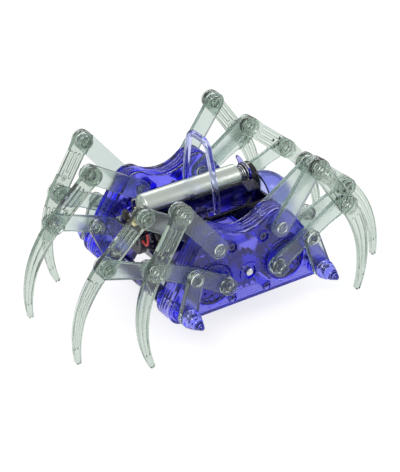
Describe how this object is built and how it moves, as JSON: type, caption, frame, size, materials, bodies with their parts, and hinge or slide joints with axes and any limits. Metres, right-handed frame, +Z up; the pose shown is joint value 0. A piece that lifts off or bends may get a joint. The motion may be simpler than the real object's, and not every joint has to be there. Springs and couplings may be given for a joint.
{
  "type": "walking robot kit",
  "caption": "Clear plastic walking robot with curved claw legs on crank-driven walking linkages, two side casings and a battery across the top.",
  "frame": {"origin": "on the ground under the middle of the robot, at the centre of its footprint", "axes": "+X along the direction of walking, towards the spring end of the battery; +Y to its left; +Z up"},
  "size_m": [0.1422, 0.0988, 0.0686],
  "materials": {
    "cobalt_plastic": "clear cobalt blue, glossy",
    "smoke_plastic": "clear grey-green, glossy",
    "pale_blue_plastic": "clear pale blue, glossy",
    "dark_blue_plastic": "deep blue, glossy",
    "steel_wire": "bright",
    "motor_can": "satin",
    "battery_shell": "satin silver",
    "brass": "bright",
    "cream_plastic": "satin",
    "black_plastic": "matt"
  },
  "bodies": {
    "chassis": {"tub": "cobalt_plastic", "battery_holder": "dark_blue_plastic", "bail": "pale_blue_plastic", "motor": "motor_can", "battery": "battery_shell", "positive_contact": "brass", "negative_plate": "brass", "contact_spring": "steel_wire", "side_axle_front": "steel_wire", "side_axle_rear": "steel_wire", "side_cover_left": "cobalt_plastic", "inner_frame_left": "cobalt_plastic", "side_cover_right": "cobalt_plastic", "inner_frame_right": "cobalt_plastic", "horn_cap_left_front": "cobalt_plastic", "horn_cap_left_rear": "cobalt_plastic", "horn_cap_right_front": "cobalt_plastic", "horn_cap_right_rear": "cobalt_plastic"},
    "drive_axle": {"drive_axle": "steel_wire", "axle_gear_left": "cobalt_plastic", "axle_gear_right": "cobalt_plastic", "worm_wheel": "cream_plastic"},
    "worm_shaft": {"worm_shaft": "brass"},
    "crank_wheel_right_front": {"crank_wheel_right_front": "cobalt_plastic"},
    "rod_right_front_outer": {"rod_right_front_outer": "smoke_plastic"},
    "leg_right_front_outer": {"leg_right_front_outer": "smoke_plastic"},
    "upper_rocker_right_front_outer": {"upper_rocker_right_front_outer": "smoke_plastic"},
    "lower_rocker_right_front_outer": {"lower_rocker_right_front_outer": "smoke_plastic"},
    "rod_right_front_inner": {"rod_right_front_inner": "smoke_plastic"},
    "leg_right_front_inner": {"leg_right_front_inner": "smoke_plastic"},
    "upper_rocker_right_front_inner": {"upper_rocker_right_front_inner": "smoke_plastic"},
    "lower_rocker_right_front_inner": {"lower_rocker_right_front_inner": "smoke_plastic"},
    "crank_wheel_right_rear": {"crank_wheel_right_rear": "cobalt_plastic"},
    "rod_right_rear_outer": {"rod_right_rear_outer": "smoke_plastic"},
    "leg_right_rear_outer": {"leg_right_rear_outer": "smoke_plastic"},
    "upper_rocker_right_rear_outer": {"upper_rocker_right_rear_outer": "smoke_plastic"},
    "lower_rocker_right_rear_outer": {"lower_rocker_right_rear_outer": "smoke_plastic"},
    "rod_right_rear_inner": {"rod_right_rear_inner": "smoke_plastic"},
    "leg_right_rear_inner": {"leg_right_rear_inner": "smoke_plastic"},
    "upper_rocker_right_rear_inner": {"upper_rocker_right_rear_inner": "smoke_plastic"},
    "lower_rocker_right_rear_inner": {"lower_rocker_right_rear_inner": "smoke_plastic"},
    "crank_wheel_left_front": {"crank_wheel_left_front": "cobalt_plastic"},
    "rod_left_front_outer": {"rod_left_front_outer": "smoke_plastic"},
    "leg_left_front_outer": {"leg_left_front_outer": "smoke_plastic"},
    "upper_rocker_left_front_outer": {"upper_rocker_left_front_outer": "smoke_plastic"},
    "lower_rocker_left_front_outer": {"lower_rocker_left_front_outer": "smoke_plastic"},
    "rod_left_front_inner": {"rod_left_front_inner": "smoke_plastic"},
    "leg_left_front_inner": {"leg_left_front_inner": "smoke_plastic"},
    "upper_rocker_left_front_inner": {"upper_rocker_left_front_inner": "smoke_plastic"},
    "lower_rocker_left_front_inner": {"lower_rocker_left_front_inner": "smoke_plastic"},
    "crank_wheel_left_rear": {"crank_wheel_left_rear": "cobalt_plastic"},
    "rod_left_rear_outer": {"rod_left_rear_outer": "smoke_plastic"},
    "leg_left_rear_outer": {"leg_left_rear_outer": "smoke_plastic"},
    "upper_rocker_left_rear_outer": {"upper_rocker_left_rear_outer": "smoke_plastic"},
    "lower_rocker_left_rear_outer": {"lower_rocker_left_rear_outer": "smoke_plastic"},
    "rod_left_rear_inner": {"rod_left_rear_inner": "smoke_plastic"},
    "leg_left_rear_inner": {"leg_left_rear_inner": "smoke_plastic"},
    "upper_rocker_left_rear_inner": {"upper_rocker_left_rear_inner": "smoke_plastic"},
    "lower_rocker_left_rear_inner": {"lower_rocker_left_rear_inner": "smoke_plastic"},
    "switch_knob": {"switch_knob": "black_plastic"}
  },
  "joints": [
    {"name": "drive_axle_turn", "type": "hinge", "parent": "chassis", "child": "drive_axle", "pos_m": [0, 0, 0.02296], "axis": [0, 1, 0], "range_deg": [-30, 30]},
    {"name": "worm_shaft_turn", "type": "hinge", "parent": "chassis", "child": "worm_shaft", "pos_m": [0, 0.0028, 0.03156], "axis": [1, 0, 0], "range_deg": [-450.1, 450.1]},
    {"name": "crank_right_front_turn", "type": "hinge", "parent": "chassis", "child": "crank_wheel_right_front", "pos_m": [0.01655, -0.0295, 0.02296], "axis": [0, 1, 0], "range_deg": [-22.6, 22.6]},
    {"name": "rod_right_front_outer_pivot", "type": "hinge", "parent": "crank_wheel_right_front", "child": "rod_right_front_outer", "pos_m": [0.01189, -0.0295, 0.02234], "axis": [0, 1, 0], "range_deg": [-16.3, 16.3]},
    {"name": "leg_right_front_outer_pivot", "type": "hinge", "parent": "rod_right_front_outer", "child": "leg_right_front_outer", "pos_m": [0.04345, -0.0295, 0.04024], "axis": [0, 1, 0], "range_deg": [-5.7, 5.7]},
    {"name": "upper_rocker_right_front_outer_pivot", "type": "hinge", "parent": "chassis", "child": "upper_rocker_right_front_outer", "pos_m": [0.0142, -0.0295, 0.03876], "axis": [0, 1, 0], "range_deg": [-5.4, 5.4]},
    {"name": "lower_rocker_right_front_outer_pivot", "type": "hinge", "parent": "chassis", "child": "lower_rocker_right_front_outer", "pos_m": [0.0308, -0.0295, 0.01636], "axis": [0, 1, 0], "range_deg": [-2.9, 2.9]},
    {"name": "rod_right_front_inner_pivot", "type": "hinge", "parent": "crank_wheel_right_front", "child": "rod_right_front_inner", "pos_m": [0.02121, -0.0295, 0.02359], "axis": [0, 1, 0], "range_deg": [-30.4, 30.4]},
    {"name": "leg_right_front_inner_pivot", "type": "hinge", "parent": "rod_right_front_inner", "child": "leg_right_front_inner", "pos_m": [0.05468, -0.0295, 0.0376], "axis": [0, 1, 0], "range_deg": [-7.6, 7.6]},
    {"name": "upper_rocker_right_front_inner_pivot", "type": "hinge", "parent": "chassis", "child": "upper_rocker_right_front_inner", "pos_m": [0.0142, -0.0295, 0.03876], "axis": [0, 1, 0], "range_deg": [-6.9, 6.9]},
    {"name": "lower_rocker_right_front_inner_pivot", "type": "hinge", "parent": "chassis", "child": "lower_rocker_right_front_inner", "pos_m": [0.0308, -0.0295, 0.01636], "axis": [0, 1, 0], "range_deg": [-3, 3]},
    {"name": "crank_right_rear_turn", "type": "hinge", "parent": "chassis", "child": "crank_wheel_right_rear", "pos_m": [-0.01655, -0.0295, 0.02296], "axis": [0, 1, 0], "range_deg": [-22.6, 22.6]},
    {"name": "rod_right_rear_outer_pivot", "type": "hinge", "parent": "crank_wheel_right_rear", "child": "rod_right_rear_outer", "pos_m": [-0.01189, -0.0295, 0.02234], "axis": [0, 1, 0], "range_deg": [-16.3, 16.3]},
    {"name": "leg_right_rear_outer_pivot", "type": "hinge", "parent": "rod_right_rear_outer", "child": "leg_right_rear_outer", "pos_m": [-0.04345, -0.0295, 0.04024], "axis": [0, 1, 0], "range_deg": [-5.7, 5.7]},
    {"name": "upper_rocker_right_rear_outer_pivot", "type": "hinge", "parent": "chassis", "child": "upper_rocker_right_rear_outer", "pos_m": [-0.0142, -0.0295, 0.03876], "axis": [0, 1, 0], "range_deg": [-5.4, 5.4]},
    {"name": "lower_rocker_right_rear_outer_pivot", "type": "hinge", "parent": "chassis", "child": "lower_rocker_right_rear_outer", "pos_m": [-0.0308, -0.0295, 0.01636], "axis": [0, 1, 0], "range_deg": [-2.9, 2.9]},
    {"name": "rod_right_rear_inner_pivot", "type": "hinge", "parent": "crank_wheel_right_rear", "child": "rod_right_rear_inner", "pos_m": [-0.02121, -0.0295, 0.02359], "axis": [0, 1, 0], "range_deg": [-30.4, 30.4]},
    {"name": "leg_right_rear_inner_pivot", "type": "hinge", "parent": "rod_right_rear_inner", "child": "leg_right_rear_inner", "pos_m": [-0.05468, -0.0295, 0.0376], "axis": [0, 1, 0], "range_deg": [-7.6, 7.6]},
    {"name": "upper_rocker_right_rear_inner_pivot", "type": "hinge", "parent": "chassis", "child": "upper_rocker_right_rear_inner", "pos_m": [-0.0142, -0.0295, 0.03876], "axis": [0, 1, 0], "range_deg": [-6.9, 6.9]},
    {"name": "lower_rocker_right_rear_inner_pivot", "type": "hinge", "parent": "chassis", "child": "lower_rocker_right_rear_inner", "pos_m": [-0.0308, -0.0295, 0.01636], "axis": [0, 1, 0], "range_deg": [-3, 3]},
    {"name": "crank_left_front_turn", "type": "hinge", "parent": "chassis", "child": "crank_wheel_left_front", "pos_m": [0.01655, 0.0295, 0.02296], "axis": [0, 1, 0], "range_deg": [-22.6, 22.6]},
    {"name": "rod_left_front_outer_pivot", "type": "hinge", "parent": "crank_wheel_left_front", "child": "rod_left_front_outer", "pos_m": [0.01189, 0.0295, 0.02234], "axis": [0, 1, 0], "range_deg": [-16.3, 16.3]},
    {"name": "leg_left_front_outer_pivot", "type": "hinge", "parent": "rod_left_front_outer", "child": "leg_left_front_outer", "pos_m": [0.04345, 0.0295, 0.04024], "axis": [0, 1, 0], "range_deg": [-5.7, 5.7]},
    {"name": "upper_rocker_left_front_outer_pivot", "type": "hinge", "parent": "chassis", "child": "upper_rocker_left_front_outer", "pos_m": [0.0142, 0.0295, 0.03876], "axis": [0, 1, 0], "range_deg": [-5.4, 5.4]},
    {"name": "lower_rocker_left_front_outer_pivot", "type": "hinge", "parent": "chassis", "child": "lower_rocker_left_front_outer", "pos_m": [0.0308, 0.0295, 0.01636], "axis": [0, 1, 0], "range_deg": [-2.9, 2.9]},
    {"name": "rod_left_front_inner_pivot", "type": "hinge", "parent": "crank_wheel_left_front", "child": "rod_left_front_inner", "pos_m": [0.02121, 0.0295, 0.02359], "axis": [0, 1, 0], "range_deg": [-30.4, 30.4]},
    {"name": "leg_left_front_inner_pivot", "type": "hinge", "parent": "rod_left_front_inner", "child": "leg_left_front_inner", "pos_m": [0.05468, 0.0295, 0.0376], "axis": [0, 1, 0], "range_deg": [-7.6, 7.6]},
    {"name": "upper_rocker_left_front_inner_pivot", "type": "hinge", "parent": "chassis", "child": "upper_rocker_left_front_inner", "pos_m": [0.0142, 0.0295, 0.03876], "axis": [0, 1, 0], "range_deg": [-6.9, 6.9]},
    {"name": "lower_rocker_left_front_inner_pivot", "type": "hinge", "parent": "chassis", "child": "lower_rocker_left_front_inner", "pos_m": [0.0308, 0.0295, 0.01636], "axis": [0, 1, 0], "range_deg": [-3, 3]},
    {"name": "crank_left_rear_turn", "type": "hinge", "parent": "chassis", "child": "crank_wheel_left_rear", "pos_m": [-0.01655, 0.0295, 0.02296], "axis": [0, 1, 0], "range_deg": [-22.6, 22.6]},
    {"name": "rod_left_rear_outer_pivot", "type": "hinge", "parent": "crank_wheel_left_rear", "child": "rod_left_rear_outer", "pos_m": [-0.01189, 0.0295, 0.02234], "axis": [0, 1, 0], "range_deg": [-16.3, 16.3]},
    {"name": "leg_left_rear_outer_pivot", "type": "hinge", "parent": "rod_left_rear_outer", "child": "leg_left_rear_outer", "pos_m": [-0.04345, 0.0295, 0.04024], "axis": [0, 1, 0], "range_deg": [-5.7, 5.7]},
    {"name": "upper_rocker_left_rear_outer_pivot", "type": "hinge", "parent": "chassis", "child": "upper_rocker_left_rear_outer", "pos_m": [-0.0142, 0.0295, 0.03876], "axis": [0, 1, 0], "range_deg": [-5.4, 5.4]},
    {"name": "lower_rocker_left_rear_outer_pivot", "type": "hinge", "parent": "chassis", "child": "lower_rocker_left_rear_outer", "pos_m": [-0.0308, 0.0295, 0.01636], "axis": [0, 1, 0], "range_deg": [-2.9, 2.9]},
    {"name": "rod_left_rear_inner_pivot", "type": "hinge", "parent": "crank_wheel_left_rear", "child": "rod_left_rear_inner", "pos_m": [-0.02121, 0.0295, 0.02359], "axis": [0, 1, 0], "range_deg": [-30.4, 30.4]},
    {"name": "leg_left_rear_inner_pivot", "type": "hinge", "parent": "rod_left_rear_inner", "child": "leg_left_rear_inner", "pos_m": [-0.05468, 0.0295, 0.0376], "axis": [0, 1, 0], "range_deg": [-7.6, 7.6]},
    {"name": "upper_rocker_left_rear_inner_pivot", "type": "hinge", "parent": "chassis", "child": "upper_rocker_left_rear_inner", "pos_m": [-0.0142, 0.0295, 0.03876], "axis": [0, 1, 0], "range_deg": [-6.9, 6.9]},
    {"name": "lower_rocker_left_rear_inner_pivot", "type": "hinge", "parent": "chassis", "child": "lower_rocker_left_rear_inner", "pos_m": [-0.0308, 0.0295, 0.01636], "axis": [0, 1, 0], "range_deg": [-3, 3]},
    {"name": "switch_slide", "type": "slide", "parent": "chassis", "child": "switch_knob", "axis": [0, 1, 0], "range_m": [0, 0.0025]}
  ],
  "couplings": [
    {"joint": "worm_shaft_turn", "follows": "drive_axle_turn", "ratio": -15},
    {"joint": "crank_right_front_turn", "follows": "drive_axle_turn", "ratio": -0.75},
    {"joint": "rod_right_front_outer_pivot", "follows": "drive_axle_turn", "ratio": 0.54032},
    {"joint": "leg_right_front_outer_pivot", "follows": "drive_axle_turn", "ratio": 0.18624},
    {"joint": "upper_rocker_right_front_outer_pivot", "follows": "drive_axle_turn", "ratio": -0.17595},
    {"joint": "lower_rocker_right_front_outer_pivot", "follows": "drive_axle_turn", "ratio": -0.09364},
    {"joint": "rod_right_front_inner_pivot", "follows": "drive_axle_turn", "ratio": 1.0085},
    {"joint": "leg_right_front_inner_pivot", "follows": "drive_axle_turn", "ratio": -0.25018},
    {"joint": "upper_rocker_right_front_inner_pivot", "follows": "drive_axle_turn", "ratio": 0.22524},
    {"joint": "lower_rocker_right_front_inner_pivot", "follows": "drive_axle_turn", "ratio": 0.09734},
    {"joint": "crank_right_rear_turn", "follows": "drive_axle_turn", "ratio": -0.75},
    {"joint": "rod_right_rear_outer_pivot", "follows": "drive_axle_turn", "ratio": 0.54032},
    {"joint": "leg_right_rear_outer_pivot", "follows": "drive_axle_turn", "ratio": 0.18624},
    {"joint": "upper_rocker_right_rear_outer_pivot", "follows": "drive_axle_turn", "ratio": -0.17595},
    {"joint": "lower_rocker_right_rear_outer_pivot", "follows": "drive_axle_turn", "ratio": -0.09364},
    {"joint": "rod_right_rear_inner_pivot", "follows": "drive_axle_turn", "ratio": 1.0085},
    {"joint": "leg_right_rear_inner_pivot", "follows": "drive_axle_turn", "ratio": -0.25018},
    {"joint": "upper_rocker_right_rear_inner_pivot", "follows": "drive_axle_turn", "ratio": 0.22524},
    {"joint": "lower_rocker_right_rear_inner_pivot", "follows": "drive_axle_turn", "ratio": 0.09734},
    {"joint": "crank_left_front_turn", "follows": "drive_axle_turn", "ratio": -0.75},
    {"joint": "rod_left_front_outer_pivot", "follows": "drive_axle_turn", "ratio": 0.54032},
    {"joint": "leg_left_front_outer_pivot", "follows": "drive_axle_turn", "ratio": 0.18624},
    {"joint": "upper_rocker_left_front_outer_pivot", "follows": "drive_axle_turn", "ratio": -0.17595},
    {"joint": "lower_rocker_left_front_outer_pivot", "follows": "drive_axle_turn", "ratio": -0.09364},
    {"joint": "rod_left_front_inner_pivot", "follows": "drive_axle_turn", "ratio": 1.0085},
    {"joint": "leg_left_front_inner_pivot", "follows": "drive_axle_turn", "ratio": -0.25018},
    {"joint": "upper_rocker_left_front_inner_pivot", "follows": "drive_axle_turn", "ratio": 0.22524},
    {"joint": "lower_rocker_left_front_inner_pivot", "follows": "drive_axle_turn", "ratio": 0.09734},
    {"joint": "crank_left_rear_turn", "follows": "drive_axle_turn", "ratio": -0.75},
    {"joint": "rod_left_rear_outer_pivot", "follows": "drive_axle_turn", "ratio": 0.54032},
    {"joint": "leg_left_rear_outer_pivot", "follows": "drive_axle_turn", "ratio": 0.18624},
    {"joint": "upper_rocker_left_rear_outer_pivot", "follows": "drive_axle_turn", "ratio": -0.17595},
    {"joint": "lower_rocker_left_rear_outer_pivot", "follows": "drive_axle_turn", "ratio": -0.09364},
    {"joint": "rod_left_rear_inner_pivot", "follows": "drive_axle_turn", "ratio": 1.0085},
    {"joint": "leg_left_rear_inner_pivot", "follows": "drive_axle_turn", "ratio": -0.25018},
    {"joint": "upper_rocker_left_rear_inner_pivot", "follows": "drive_axle_turn", "ratio": 0.22524},
    {"joint": "lower_rocker_left_rear_inner_pivot", "follows": "drive_axle_turn", "ratio": 0.09734}
  ]
}
